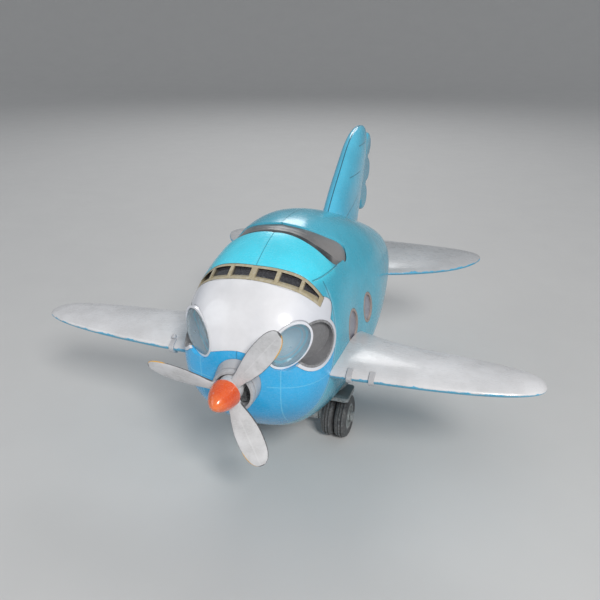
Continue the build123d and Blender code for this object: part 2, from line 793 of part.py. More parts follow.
def axle_beam():
    """The housing across the belly that carries the axle, on a central pylon."""
    tube = cross_rod(BEAM_RADIUS, -BEAM_HALF, BEAM_HALF, AXLE_STATION, WHEEL_RADIUS)
    pylon = block(-8.0, 8.0, AXLE_STATION - 6.0, AXLE_STATION + 6.0, WHEEL_RADIUS, 30.0)
    pylon = fillet(pylon.edges().filter_by(Axis.Z), 2.5)
    beam = (tube + pylon) - (half_hull(0.0) + mirrored(half_hull(0.0)))
    return largest(beam - cross_rod(AXLE_RADIUS, -BEYOND, BEYOND, AXLE_STATION, WHEEL_RADIUS))


def gear_leg():
    """Inner arm, fender over the twin wheels and a strap that hugs the hull's side, on the left."""
    low = WHEEL_RADIUS
    top = WHEEL_RADIUS * 2 + FENDER_GAP
    arm = block(LEG_INNER, LEG_INNER + LEG_ARM, AXLE_STATION - 4.0, AXLE_STATION + 4.0, low, top + 1.0)
    arm += cross_rod(4.0, LEG_INNER, LEG_INNER + LEG_ARM, AXLE_STATION, low)
    fender = block(LEG_INNER, FENDER_OUTER, AXLE_STATION - 7.5, AXLE_STATION + 7.5, top, top + FENDER_THICKNESS)
    fender = fillet(fender.edges().filter_by(Axis.Z), 2.0)
    strap_front = AXLE_STATION - STRAP_WIDTH / 2
    strap = half_layer(-STRAP_THICKNESS, 0.0)
    strap &= block(LEG_INNER, BEYOND, strap_front, strap_front + STRAP_WIDTH, 0, STRAP_TOP)
    leg = (arm + fender + strap) - half_hull(0.0)
    return largest(leg - cross_rod(AXLE_RADIUS, -BEYOND, BEYOND, AXLE_STATION, WHEEL_RADIUS))


def tail_fork():
    """The fixed leg of the rear wheel."""
    arm_inner = TAIL_WHEEL_WIDTH / 2 + 0.5
    arm_outer = arm_inner + FORK_ARM
    station = TAIL_WHEEL_STATION
    arms = both_sides(block(arm_inner, arm_outer, station - 3.5, station + 3.5, TAIL_WHEEL_RADIUS, FORK_CROWN + 3.0))
    arms += both_sides(cross_rod(3.5, arm_inner, arm_outer, station, TAIL_WHEEL_RADIUS))
    crown = block(-arm_outer, arm_outer, station - 3.5, station + 3.5, FORK_CROWN, FORK_CROWN + 4.0)
    column = block(-4.0, 4.0, station - 3.5, station + 3.5, FORK_CROWN + 2.0, 60.0)
    column = fillet(column.edges().filter_by(Axis.Z), 2.0)
    fork = (arms + crown + column) - (half_hull(0.0) + mirrored(half_hull(0.0)))
    return largest(fork - cross_rod(AXLE_RADIUS, -BEYOND, BEYOND, station, TAIL_WHEEL_RADIUS))


def tail_axle():
    half = TAIL_WHEEL_WIDTH / 2 + 0.5 + FORK_ARM + 0.6
    return cross_rod(AXLE_RADIUS, -half, half, TAIL_WHEEL_STATION, TAIL_WHEEL_RADIUS)


def case_screws():
    screws = None
    for station, height in SCREWS:
        shank = cross_rod(SCREW_RADIUS, SCREW_HEAD_X, SCREW_HEAD_X + SCREW_LENGTH, station, height)
        head_start = SCREW_HEAD_X - SCREW_HEAD_LENGTH
        head = cross_rod(SCREW_HEAD_RADIUS, head_start, SCREW_HEAD_X, station, height)
        screw = shank + head
        screws = screw if screws is None else screws + screw
    return screws


# ---------------------------------------------------------------- assembly
def centre_parts():
    """Pieces on the centre plane, by name."""
    return {
        "face_mask": face_mask(),
        "windshield_frame": windshield_frame(),
        "windshield_glazing": windshield_glazing(),
        "roof_vent": roof_vent(),
        "nose_cowl": nose_cowl(),
        "intake_plate": intake_plate(),
        "shaft_bushing": shaft_bushing(),
        "propeller_shaft": propeller_shaft(),
        "shaft_retainer": shaft_retainer(),
        "propeller": propeller(),
        "spinner": spinner(),
        "wing_spar": spar(SPAR_HALF, SPAR_STATION, SPAR_WIDTH, SPAR_THICKNESS, WING_HEIGHT),
        "tail_spar": spar(TAIL_SPAR_HALF, TAIL_SPAR_STATION, TAIL_SPAR_WIDTH, TAIL_SPAR_THICKNESS, STAB_HEIGHT),
        "case_screws": case_screws(),
        "main_axle": main_axle(),
        "axle_caps": axle_caps(),
        "axle_beam": axle_beam(),
        "tail_fork": tail_fork(),
        "tail_lights": tail_lights(),
        "tail_axle": tail_axle(),
        "tail_wheel_rim": at_tail_axle(rim(TAIL_RIM_RADIUS, TAIL_WHEEL_WIDTH, AXLE_RADIUS + RUNNING)),
        "tail_wheel_tyre": at_tail_axle(tyre(TAIL_WHEEL_RADIUS, TAIL_WHEEL_WIDTH, TAIL_RIM_RADIUS)),
    }


def hull_halves():
    """Both shells: the screws bite into the left one and their heads sit in the right one."""
    shell = half_shell()
    shanks = screw_shanks(SCREW_HEAD_X, SCREW_HEAD_X + SCREW_LENGTH)
    right = mirrored(shell) - screw_wells()
    return {"fuselage_left": largest(shell - shanks), "fuselage_right": largest(right - shanks)}


def left_parts():
    """Pieces of the left side that have a mirror image on the right."""
    wing = hollow_surface(WING, WING_HEIGHT, WING_CAVITY_END)
    stab = hollow_surface(STAB, STAB_HEIGHT, STAB_CAVITY_END)
    parts = {
        "wing_upper": upper_half(wing, WING_HEIGHT),
        "wing_lower": lower_half(wing, WING_HEIGHT),
        "stabilizer_upper": upper_half(stab, STAB_HEIGHT),
        "stabilizer_lower": lower_half(stab, STAB_HEIGHT),
        "lamp_bezel": lamp_bezel(),
        "lamp_reflector": lamp_reflector(),
        "lamp_lens": lamp_lens(),
        "cheek_scoop": cheek_scoop(),
        "gear_leg": gear_leg(),
        "fin": fin_half(),
        "porthole_panes": porthole_panes(),
    }
    for name in PORTHOLES:
        parts["porthole_rim_" + name] = porthole_rim(name)
    for name, x in WHEELS.items():
        parts["wheel_rim_" + name] = at_axle(rim(RIM_RADIUS, TYRE_WIDTH, AXLE_RADIUS + RUNNING), x)
        parts["tyre_" + name] = at_axle(tyre(WHEEL_RADIUS, TYRE_WIDTH, RIM_RADIUS), x)
    return parts


def airplane():
    """Every piece of the airplane, by node name."""
    parts = hull_halves()
    parts.update(centre_parts())
    for name, shape in left_parts().items():
        parts[name + "_left"] = shape
        parts[name + "_right"] = mirrored(shape)
    parts["wing_hooks_left"] = wing_hooks(HOOKS_LEFT)
    parts["wing_hooks_right"] = mirrored(wing_hooks(HOOKS_RIGHT))
    return parts


os.makedirs("parts", exist_ok=True)
for node, shape in airplane().items():
    export_step(shape, os.path.join("parts", node + ".step"))
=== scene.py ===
"""Looks of the toy airplane: paint and plastics on the CAD pieces, floor, light and camera."""

import json
import math

import bmesh
import bpy
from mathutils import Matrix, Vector

MM = 0.001
LENGTH = 240.0           # mm, spinner tip to fin trailing edge
AXIS_HEIGHT = 70.7
WING_HEIGHT = 67.4
STAB_HEIGHT = 71.5

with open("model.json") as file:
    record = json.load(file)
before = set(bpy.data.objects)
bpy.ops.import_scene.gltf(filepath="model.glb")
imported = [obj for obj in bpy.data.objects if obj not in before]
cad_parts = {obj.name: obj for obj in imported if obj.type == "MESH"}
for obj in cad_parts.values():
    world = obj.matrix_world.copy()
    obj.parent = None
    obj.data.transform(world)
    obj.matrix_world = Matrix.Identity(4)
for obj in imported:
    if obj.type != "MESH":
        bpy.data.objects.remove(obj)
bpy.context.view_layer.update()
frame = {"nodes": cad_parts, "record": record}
NODES = frame["nodes"]
SLOT_OF = {part["node"]: part["material_slot"] for part in frame["record"]["subparts"]}


def y_of(station):
    """Y in mm of a distance behind the spinner's tip."""
    return station - LENGTH / 2.0


# ---------------------------------------------------------------- shader helpers
class Shader:
    """A Principled material with short ways to add procedural nodes."""

    def __init__(self, name, **values):
        self.material = bpy.data.materials.new(name)
        self.material.use_nodes = True
        self.tree = self.material.node_tree
        self.tree.nodes.clear()
        output = self.add("ShaderNodeOutputMaterial")
        self.bsdf = self.add("ShaderNodeBsdfPrincipled")
        self.tree.links.new(self.bsdf.outputs[0], output.inputs[0])
        for key, value in values.items():
            self.bsdf.inputs[key.replace("_", " ")].default_value = value
        coords = self.add("ShaderNodeTexCoord")
        scaled = self.add("ShaderNodeVectorMath", operation="SCALE")
        self.tree.links.new(coords.outputs["Object"], scaled.inputs[0])
        scaled.inputs["Scale"].default_value = 1.0 / MM
        self.point = scaled.outputs[0]
        split = self.add("ShaderNodeSeparateXYZ")
        self.tree.links.new(self.point, split.inputs[0])
        self.x, self.y, self.z = split.outputs
        self.side = self.math("ABSOLUTE", self.x)

    def add(self, kind, **settings):
        node = self.tree.nodes.new(kind)
        for key, value in settings.items():
            setattr(node, key, value)
        return node

    def put(self, socket, value):
        if isinstance(value, bpy.types.NodeSocket):
            self.tree.links.new(value, socket)
        elif isinstance(value, (tuple, list)) and len(value) == 3 and socket.type == "RGBA":
            socket.default_value = (*value, 1.0)
        else:
            socket.default_value = value

    def math(self, operation, *values, clamp=False):
        node = self.add("ShaderNodeMath", operation=operation, use_clamp=clamp)
        for socket, value in zip(node.inputs, values):
            self.put(socket, value)
        return node.outputs[0]

    def mix(self, factor, one, other, blend="MIX"):
        node = self.add("ShaderNodeMix", data_type="RGBA", blend_type=blend)
        self.put(node.inputs["Factor"], factor)
        self.put(node.inputs[6], one)
        self.put(node.inputs[7], other)
        return node.outputs[2]

    def step(self, value, low, high, bottom=0.0, top=1.0):
        node = self.add("ShaderNodeMapRange", interpolation_type="SMOOTHSTEP")
        for socket, given in zip(node.inputs, (value, low, high, bottom, top)):
            self.put(socket, given)
        return node.outputs[0]

    def noise(self, scale, detail=3.0, roughness=0.5, vector=None, distortion=0.0):
        node = self.add("ShaderNodeTexNoise")
        self.put(node.inputs["Vector"], vector or self.point)
        self.put(node.inputs["Scale"], scale)
        self.put(node.inputs["Detail"], detail)
        self.put(node.inputs["Roughness"], roughness)
        self.put(node.inputs["Distortion"], distortion)
        return node.outputs[0]

    def squeezed(self, x, y, z):
        """The point with its axes scaled, for noise that runs one way."""
        node = self.add("ShaderNodeVectorMath", operation="MULTIPLY")
        self.put(node.inputs[0], self.point)
        node.inputs[1].default_value = (x, y, z)
        return node.outputs[0]

    def line(self, value, width):
        """1 where a value is within a width of zero, with soft sides."""
        return self.step(self.math("ABSOLUTE", value), width * 0.55, width, 1.0, 0.0)

    def all(self, *masks):
        result = masks[0]
        for mask in masks[1:]:
            result = self.math("MULTIPLY", result, mask)
        return result

    def any(self, *masks):
        result = masks[0]
        for mask in masks[1:]:
            result = self.math("MAXIMUM", result, mask)
        return result

    def plane(self, a, b, c, d):
        """a*|x| + b*y + c*z + d."""
        total = self.math("MULTIPLY_ADD", self.side, a, d)
        total = self.math("MULTIPLY_ADD", self.y, b, total)
        return self.math("MULTIPLY_ADD", self.z, c, total)

    def finish(self, colour, rough=(0.25, 0.4), grain=0.03, grain_scale=3.0, wear=0.0, groove=None,
               edge=0.25, streak=None, dust=0.0):
        """Colour drift, roughness patches, moulding grain, rubbed edges, grooves and soft corners."""
        drift = self.noise(0.045, 4.0, 0.6)
        shade = self.step(drift, 0.25, 0.75, 0.90, 1.08)
        colour = self.mix(1.0, colour, self.combine(shade), "MULTIPLY")
        fleck = self.noise(1.4, 5.0, 0.65)
        colour = self.mix(self.step(fleck, 0.35, 0.75, 0.0, 0.07), colour, (0.75, 0.78, 0.80))
        if wear:
            geometry = self.add("ShaderNodeNewGeometry")
            rubbed = self.step(geometry.outputs["Pointiness"], 0.515, 0.57, 0.0, wear)
            broken = self.step(self.noise(0.9, 5.0, 0.7), 0.40, 0.62)
            colour = self.mix(self.math("MULTIPLY", rubbed, broken), colour, (0.80, 0.82, 0.83))
        if dust:
            settled = self.step(self.noise(0.25, 6.0, 0.7), 0.45, 0.75, 0.0, dust)
            colour = self.mix(settled, colour, (0.42, 0.40, 0.37))
        if groove is not None:
            colour = self.mix(self.math("MULTIPLY", groove, 0.45), colour, (0.015, 0.05, 0.08))
        self.put(self.bsdf.inputs["Base Color"], colour)
        patches = self.noise(0.12, 5.0, 0.65)
        scuffs = self.noise(1.0, 4.0, 0.7, self.squeezed(0.25, 1.6, 2.2))
        blend = self.math("MULTIPLY_ADD", scuffs, 0.45, self.math("MULTIPLY", patches, 0.55))
        self.put(self.bsdf.inputs["Roughness"], self.step(blend, 0.30, 0.70, rough[0], rough[1]))
        height = self.math("MULTIPLY", self.noise(grain_scale, 3.0, 0.55), grain)
        if streak is not None:
            height = self.math("ADD", height, streak)
        if groove is not None:
            height = self.math("SUBTRACT", height, self.math("MULTIPLY", groove, 0.30))
        bump = self.add("ShaderNodeBump")
        bump.inputs["Strength"].default_value = 0.9
        bump.inputs["Distance"].default_value = MM
        self.put(bump.inputs["Height"], height)
        if edge:
            soft = self.add("ShaderNodeBevel", samples=4)
            soft.inputs["Radius"].default_value = edge * MM
            self.tree.links.new(soft.outputs[0], bump.inputs["Normal"])
        self.put(self.bsdf.inputs["Normal"], bump.outputs[0])
        return self.material

    def combine(self, value):
        node = self.add("ShaderNodeCombineColor")
        for socket in node.inputs:
            self.put(socket, value)
        return node.outputs[0]


# ---------------------------------------------------------------- paints and plastics
# painted light: the hood's cyan is the hull's blue lightened as if lit from above
LIT_HOOD_CYAN = (0.065, 0.76, 0.98)
FACE_BLUE = (0.020, 0.45, 0.86)
# painted shade: the teal of the sides is the hull's blue darkened as if in shade
SHADED_SIDE_TEAL = (0.042, 0.45, 0.63)
FIN_BLUE = (0.085, 0.54, 0.78)
MASK_WHITE = (0.84, 0.84, 0.87)
WING_WHITE = (0.72, 0.72, 0.74)
# painted shade: the stabilizers' white is the wings' white darkened as if in shade
SHADED_STAB_WHITE = (0.50, 0.51, 0.53)
EDGE_BLUE = (0.06, 0.42, 0.68)
WAVE_HEIGHT = 3.2        # mm between the crests and troughs of the wings' painted edge


BAND_FOOT = 108.3        # height of the windshield band's lower edge on the centre line
BAND_DROP_SQUARE = 0.009
BAND_DROP_SIXTH = 7.7e-9


def lip_under_band(s):
    """The narrow lip of the hull between the windshield band and the mask."""
    square = s.math("MULTIPLY", s.side, s.side)
    gentle = s.math("MULTIPLY", square, BAND_DROP_SQUARE)
    drop = s.math("MULTIPLY_ADD", s.math("POWER", s.side, 6.0), BAND_DROP_SIXTH, gentle)
    above = s.math("SUBTRACT", s.math("ADD", s.z, drop), BAND_FOOT)
    near = s.all(s.step(above, -1.4, -1.2), s.step(above, 0.7, 0.9, 1.0, 0.0))
    return s.all(near, s.step(s.y, y_of(44.0), y_of(45.0), 1.0, 0.0), s.step(s.side, 28.0, 28.6, 1.0, 0.0))


def blue_paint():
    """The hull and fin: deep blue face, a cyan hood lightened with painted light from above, teal sides
    darkened with painted shade, with panel grooves.
    """
    s = Shader("hull_paint", Coat_Weight=0.35, Coat_Roughness=0.12)
    face_edge = s.plane(0.0, 1.0, -0.28, 94.0)
    on_face = s.all(s.step(face_edge, -1.2, 1.2, 1.0, 0.0), s.step(s.z, 84.0, 92.0, 1.0, 0.0))
    high = s.step(s.z, 103.0, 108.0)
    ahead = s.step(s.y, y_of(66.0), y_of(70.0), 1.0, 0.0)
    hood = s.all(high, ahead)
    rear = s.step(s.y, y_of(110.0), y_of(200.0))
    # painted shade: the hull starts from the shaded teal of its sides
    colour = s.mix(rear, SHADED_SIDE_TEAL, (0.045, 0.42, 0.60))
    # painted shade: the hull darker towards its belly
    belly = s.step(s.z, 28.0, 62.0, 1.0, 0.0)
    colour = s.mix(s.math("MULTIPLY", belly, 0.35), colour, (0.02, 0.16, 0.26))
    # painted shade: the face darker towards the bottom of the chin
    chin = s.mix(s.step(s.z, 30.0, 72.0, 0.55, 0.0), FACE_BLUE, (0.010, 0.17, 0.38))
    colour = s.mix(on_face, colour, chin)
    rim_light = s.all(s.line(face_edge, 1.6), s.step(s.z, 100.0, 104.0, 1.0, 0.0), s.step(s.side, 20.0, 26.0))
    colour = s.mix(s.math("MULTIPLY", rim_light, 0.45), colour, (0.25, 0.66, 0.86))
    # painted light: the top of the hood is painted lit cyan over the shaded sides
    colour = s.mix(hood, colour, LIT_HOOD_CYAN)
    colour = s.mix(lip_under_band(s), colour, MASK_WHITE)
    parting = s.line(s.x, 0.22)
    front = s.step(s.y, y_of(60.0), y_of(61.0), 1.0, 0.0)
    chin_line = s.line(s.plane(0.0, 0.0, 1.0, -68.6), 0.28)
    chin_line = s.all(chin_line, s.step(s.side, 12.0, 12.6), s.step(face_edge, -0.8, -0.2, 1.0, 0.0))
    chin_post = s.all(s.line(s.plane(1.0, 0.0, -0.02, -16.4), 0.28), s.step(s.z, 45.0, 46.0),
                      s.step(s.z, 76.0, 77.0, 1.0, 0.0), front)
    hood_side = s.all(s.line(s.plane(0.0, 0.0, 1.0, -106.4), 0.30), s.step(s.side, 21.0, 22.0),
                      s.step(s.y, y_of(50.0), y_of(51.0)), s.step(s.y, y_of(72.0), y_of(73.0), 1.0, 0.0))
    crease = s.all(s.line(face_edge, 0.30), s.step(s.z, 104.5, 105.5, 1.0, 0.0), s.step(s.side, 18.0, 19.0))
    waist = s.all(s.line(s.plane(0.0, 1.0, 0.0, -y_of(134.0)), 0.30), s.step(s.z, 105.0, 106.0, 1.0, 0.0))
    groove = s.any(s.math("MULTIPLY", parting, 0.6), hood_side, crease, waist)
    # painted highlight: light lines along the chin's grooves
    chin_groove_highlight = s.math("MULTIPLY", s.any(chin_line, chin_post), 0.40)
    colour = s.mix(chin_groove_highlight, colour, (0.24, 0.72, 0.95))
    return s.finish(colour, rough=(0.16, 0.34), grain=0.018, wear=0.06, groove=groove, edge=0.35)


def fin_paint():
    s = Shader("fin_paint", Coat_Weight=0.35, Coat_Roughness=0.12)
    # painted shade: the fin's rear lobes darker where the flank turns away
    toward_rear = s.plane(0.0, 1.0, -0.95, 0.0)
    shaded_lobes = s.step(toward_rear, y_of(214.0) - 0.95 * 115.0, y_of(222.0) - 0.95 * 115.0)
    colour = s.mix(s.math("MULTIPLY", shaded_lobes, 0.6), FIN_BLUE, (0.035, 0.22, 0.34))
    low = s.step(s.z, 92.0, 108.0, 0.35, 0.0)
    # painted shade: the fin's foot blends into the shaded teal of the hull sides
    colour = s.mix(low, colour, SHADED_SIDE_TEAL)
    top = s.all(s.line(s.plane(0.0, 0.0, 1.0, -134.5), 0.3), s.step(s.y, y_of(197.0), y_of(198.0)),
                s.step(s.y, y_of(216.0), y_of(217.0), 1.0, 0.0))
    middle = s.all(s.line(s.plane(0.0, 0.0, 1.0, -120.0), 0.3), s.step(s.y, y_of(176.0), y_of(177.0)),
                   s.step(s.y, y_of(196.0), y_of(197.0), 1.0, 0.0))
    slant = s.all(s.line(s.plane(0.0, -0.22, 1.0, -102.0 + 0.22 * y_of(170.0)), 0.3),
                  s.step(s.y, y_of(148.0), y_of(149.0)), s.step(s.y, y_of(190.0), y_of(191.0), 1.0, 0.0))
    mark = s.all(s.line(s.plane(0.0, 1.0, 0.0, -y_of(218.0)), 1.0),
                 s.line(s.plane(0.0, 0.0, 1.0, -112.0), 2.6))
    colour = s.mix(s.math("MULTIPLY", mark, 0.8), colour, (0.75, 0.70, 0.66))
    parting = s.line(s.x, 0.35)
    colour = s.mix(s.math("MULTIPLY", parting, 0.6), colour, (0.01, 0.06, 0.14))
    groove = s.any(top, middle, slant, parting)
    return s.finish(colour, rough=(0.16, 0.32), grain=0.018, wear=0.10, groove=groove, edge=0.35)


def white_paint():
    """The face mask, with painted blue-grey shade towards its sides."""
    s = Shader("mask_white", Coat_Weight=0.5, Coat_Roughness=0.08)
    # painted shade: the mask bluer and darker towards its sides
    sides = s.step(s.side, 12.0, 31.0, 0.0, 0.30)
    colour = s.mix(sides, MASK_WHITE, (0.52, 0.60, 0.76))
    soft = s.step(s.noise(0.05, 2.0, 0.5, s.squeezed(2.2, 1.0, 0.6)), 0.4, 0.7, 0.0, 0.16)
    colour = s.mix(soft, colour, (0.66, 0.68, 0.74))
    return s.finish(colour, rough=(0.12, 0.26), grain=0.012, edge=0.3)


def wing_paint(name, height, lead, middle, white_tone):
    """White surfaces with a wavy blue edge along the leading edge."""
    s = Shader(name, Coat_Weight=0.4, Coat_Roughness=0.12)
    ripple = s.noise(0.16, 4.0, 0.7, s.squeezed(1.0, 0.15, 0.0))
    wave = s.math("MULTIPLY", s.math("SUBTRACT", ripple, 0.5), WAVE_HEIGHT)
    level = s.math("ADD", s.math("SUBTRACT", s.z, height + lead), wave)
    ahead = s.step(s.y, y_of(middle) - 1.0, y_of(middle) + 1.0, 1.0, 0.0)
    blue = s.all(s.step(level, -0.15, 0.15, 1.0, 0.0), ahead)
    grime = s.step(s.noise(0.07, 5.0, 0.65), 0.35, 0.75, 0.0, 0.34)
    white = s.mix(grime, white_tone, (0.46, 0.45, 0.45))
    # painted shade: the white darker near its root by the hull
    painted_root_shade = s.step(s.side, 32.0, 52.0, 0.22, 0.0)
    white = s.mix(painted_root_shade, white, (0.42, 0.42, 0.43))
    colour = s.mix(blue, white, EDGE_BLUE)
    ribs = s.math("MULTIPLY", s.noise(0.10, 2.0, 0.5, s.squeezed(1.0, 0.3, 0.2)), 0.10)
    return s.finish(colour, rough=(0.18, 0.42), grain=0.015, wear=0.08, streak=ribs, edge=0.3)


def plain(name, colour, rough, grain=0.03, coat=0.0, wear=0.2, edge=0.2, dust=0.0, second=None, **values):
    """One plastic, mottled between two close tones."""
    s = Shader(name, Coat_Weight=coat, Coat_Roughness=0.15, **values)
    tone = second or tuple(channel * 0.72 for channel in colour)
    mottle = s.step(s.noise(0.3, 5.0, 0.6), 0.3, 0.7)
    blended = s.mix(s.math("MULTIPLY", mottle, 0.5), colour, tone)
    return s.finish(blended, rough=rough, grain=grain, wear=wear, edge=edge, dust=dust)


def metal(name, colour, rough):
    """Drawn steel with fine scratches round its length."""
    s = Shader(name, Metallic=1.0)
    scratches = s.noise(2.0, 4.0, 0.7, s.squeezed(6.0, 0.4, 6.0))
    blended = s.mix(s.step(scratches, 0.3, 0.7), colour, tuple(channel * 0.6 for channel in colour))
    return s.finish(blended, rough=rough, grain=0.02, wear=0.0, edge=0.15)


def tyre_rubber():
    """Soft rubber, dusty in its grooves and polished where it rolls."""
    s = Shader("tyre_rubber")
    far = s.noise(0.35, 6.0, 0.7)
    colour = s.mix(s.step(far, 0.35, 0.7), (0.032, 0.032, 0.035), (0.075, 0.075, 0.076))
    return s.finish(colour, rough=(0.38, 0.62), grain=0.10, grain_scale=2.2, wear=0.2, edge=0.25, dust=0.16)


def lens_plastic():
    """Clear pale blue plastic."""
    s = Shader("lens_plastic", IOR=1.46)
    s.bsdf.inputs["Transmission Weight"].default_value = 0.88
    s.bsdf.inputs["Coat Weight"].default_value = 0.4
    tint = s.mix(s.step(s.noise(0.1, 3.0), 0.3, 0.7), (0.82, 0.93, 0.98), (0.72, 0.87, 0.95))
    s.put(s.bsdf.inputs["Base Color"], tint)
    s.put(s.bsdf.inputs["Roughness"], s.step(s.noise(0.5, 4.0), 0.3, 0.7, 0.03, 0.12))
    bump = s.add("ShaderNodeBump")
    bump.inputs["Strength"].default_value = 0.4
    bump.inputs["Distance"].default_value = MM
    s.put(bump.inputs["Height"], s.math("MULTIPLY", s.noise(0.35, 2.0), 0.15))
    s.put(s.bsdf.inputs["Normal"], bump.outputs[0])
    return s.material


LAMP_CENTRE = (19.7, y_of(31.0), 86.0)
LAMP_AXIS = Vector((0.50, -0.86, 0.10)).normalized()
LAMP_LEAN = math.radians(47.0)
LAMP_HALF_LONG = 11.4
LAMP_HALF_WIDE = 7.6
LAMP_LEVEL = Vector((LAMP_AXIS.y, -LAMP_AXIS.x, 0.0)).normalized()
LAMP_DOWN = LAMP_AXIS.cross(LAMP_LEVEL)
LAMP_LONG_WAY = LAMP_LEVEL * math.cos(LAMP_LEAN) + LAMP_DOWN * math.sin(LAMP_LEAN)
LAMP_WIDE_WAY = LAMP_DOWN * math.cos(LAMP_LEAN) - LAMP_LEVEL * math.sin(LAMP_LEAN)


def reflector_paint():
    """Pale bowl with bright cyan ovals round the lamp's axis."""
    s = Shader("reflector_paint", Coat_Weight=0.5, Coat_Roughness=0.08)
    folded = s.add("ShaderNodeCombineXYZ")
    for socket, value in zip(folded.inputs, (s.side, s.y, s.z)):
        s.put(socket, value)
    offset = s.add("ShaderNodeVectorMath", operation="SUBTRACT")
    s.put(offset.inputs[0], folded.outputs[0])
    offset.inputs[1].default_value = LAMP_CENTRE
    squares = []
    for way, half in ((LAMP_LONG_WAY, LAMP_HALF_LONG), (LAMP_WIDE_WAY, LAMP_HALF_WIDE)):
        dot = s.add("ShaderNodeVectorMath", operation="DOT_PRODUCT")
        s.put(dot.inputs[0], offset.outputs[0])
        dot.inputs[1].default_value = way / half
        squares.append(s.math("POWER", s.math("ABSOLUTE", dot.outputs["Value"]), 2.0))
    radius = s.math("SQRT", s.math("ADD", *squares))
    outer = s.line(s.math("SUBTRACT", radius, 0.80), 0.055)
    inner = s.line(s.math("SUBTRACT", radius, 0.62), 0.036)
    # painted highlight: the bowl pale in its middle and darker towards its rim
    bowl_highlight = s.step(radius, 0.0, 0.95)
    colour = s.mix(bowl_highlight, (0.78, 0.89, 0.95), (0.40, 0.58, 0.70))
    colour = s.mix(s.any(outer, s.math("MULTIPLY", inner, 0.7)), colour, (0.20, 0.80, 0.98))
    return s.finish(colour, rough=(0.10, 0.22), grain=0.01, edge=0.0)


FIRST_BLADE = 51.8       # degrees from +X towards +Z
BLADE_STEP = 120.0       # degrees between blades
BLADE_PITCH = math.radians(25.0)
BLADE_TIP = 36.0
BLADE_WIDEST = 12.0
BLADE_CHORDS = (         # distance from the axis, chord
    (3.5, 5.0),
    (8.0, 6.2),
    (14.0, 9.0),
    (21.0, 10.9),
    (28.0, 10.6),
    (32.5, 8.6),
    (35.2, 5.0),
    (36.0, 2.2),
)


def blade_paint():
    """Light grey blades with dark worn edges and amber marks on the trailing tips."""
    s = Shader("blade_paint", Coat_Weight=0.3, Coat_Roughness=0.15)
    up = s.math("SUBTRACT", s.z, AXIS_HEIGHT)
    angle = s.math("SUBTRACT", s.math("ARCTAN2", up, s.x), math.radians(FIRST_BLADE - BLADE_STEP / 2.0))
    turned = s.math("FLOORED_MODULO", angle, math.radians(BLADE_STEP))
    angle = s.math("SUBTRACT", turned, math.radians(BLADE_STEP / 2.0))
    radius = s.math("SQRT", s.math("ADD", s.math("MULTIPLY", s.x, s.x), s.math("MULTIPLY", up, up)))
    reach = s.math("MULTIPLY", radius, s.math("COSINE", angle))
    across = s.math("MULTIPLY", radius, s.math("SINE", angle))
    curve = s.add("ShaderNodeFloatCurve")
    points = curve.mapping.curves[0].points
    while len(points) < len(BLADE_CHORDS):
        points.new(0.5, 0.5)
    for point, (distance, chord) in zip(points, BLADE_CHORDS):
        point.location = (distance / BLADE_TIP, chord / BLADE_WIDEST)
    curve.mapping.update()
    span = s.math("DIVIDE", reach, BLADE_TIP)
    s.put(curve.inputs["Value"], span)
    half = s.math("MULTIPLY", curve.outputs[0], BLADE_WIDEST / 2.0 * math.cos(BLADE_PITCH))
    chord = s.math("DIVIDE", across, half)
    gap = s.math("SUBTRACT", half, s.math("ABSOLUTE", across))
    uneven = s.math("MULTIPLY", s.math("SUBTRACT", s.noise(0.5, 4.0, 0.7), 0.5), 0.25)
    edge = s.math("ADD", gap, uneven)
    rim = s.all(s.step(edge, 0.12, 0.26, 1.0, 0.0), s.step(span, 0.16, 0.20))
    end = s.step(s.math("ADD", span, s.math("MULTIPLY", uneven, 0.02)), 0.985, 0.993)
    colour = s.mix(s.step(s.noise(0.12, 5.0, 0.6), 0.3, 0.7), (0.56, 0.56, 0.57), (0.72, 0.72, 0.74))
    # painted highlight: a lighter line along the blade's ridge
    ridge_highlight = s.all(s.line(chord, 0.07), s.step(span, 0.25, 0.40))
    colour = s.mix(s.math("MULTIPLY", ridge_highlight, 0.25), colour, (0.82, 0.82, 0.84))
    colour = s.mix(s.any(rim, end), colour, (0.07, 0.07, 0.075))
    amber = s.all(s.step(edge, 0.30, 0.55, 1.0, 0.0), s.step(chord, -0.1, 0.0, 1.0, 0.0),
                  s.step(span, 0.74, 0.80))
    colour = s.mix(amber, colour, (0.80, 0.42, 0.04))
    return s.finish(colour, rough=(0.22, 0.42), grain=0.03, edge=0.0)


def spinner_paint():
    s = Shader("spinner_paint", Coat_Weight=0.6, Coat_Roughness=0.06)
    colour = s.mix(s.step(s.noise(0.2, 4.0, 0.6), 0.3, 0.7), (0.86, 0.125, 0.015), (0.72, 0.080, 0.012))
    # painted highlight: the spinner lighter, yellower orange towards its tip
    tip = s.step(s.y, y_of(0.0), y_of(5.0), 0.45, 0.0)
    colour = s.mix(tip, colour, (0.90, 0.26, 0.05))
    return s.finish(colour, rough=(0.16, 0.32), grain=0.03, wear=0.2, edge=0.0)


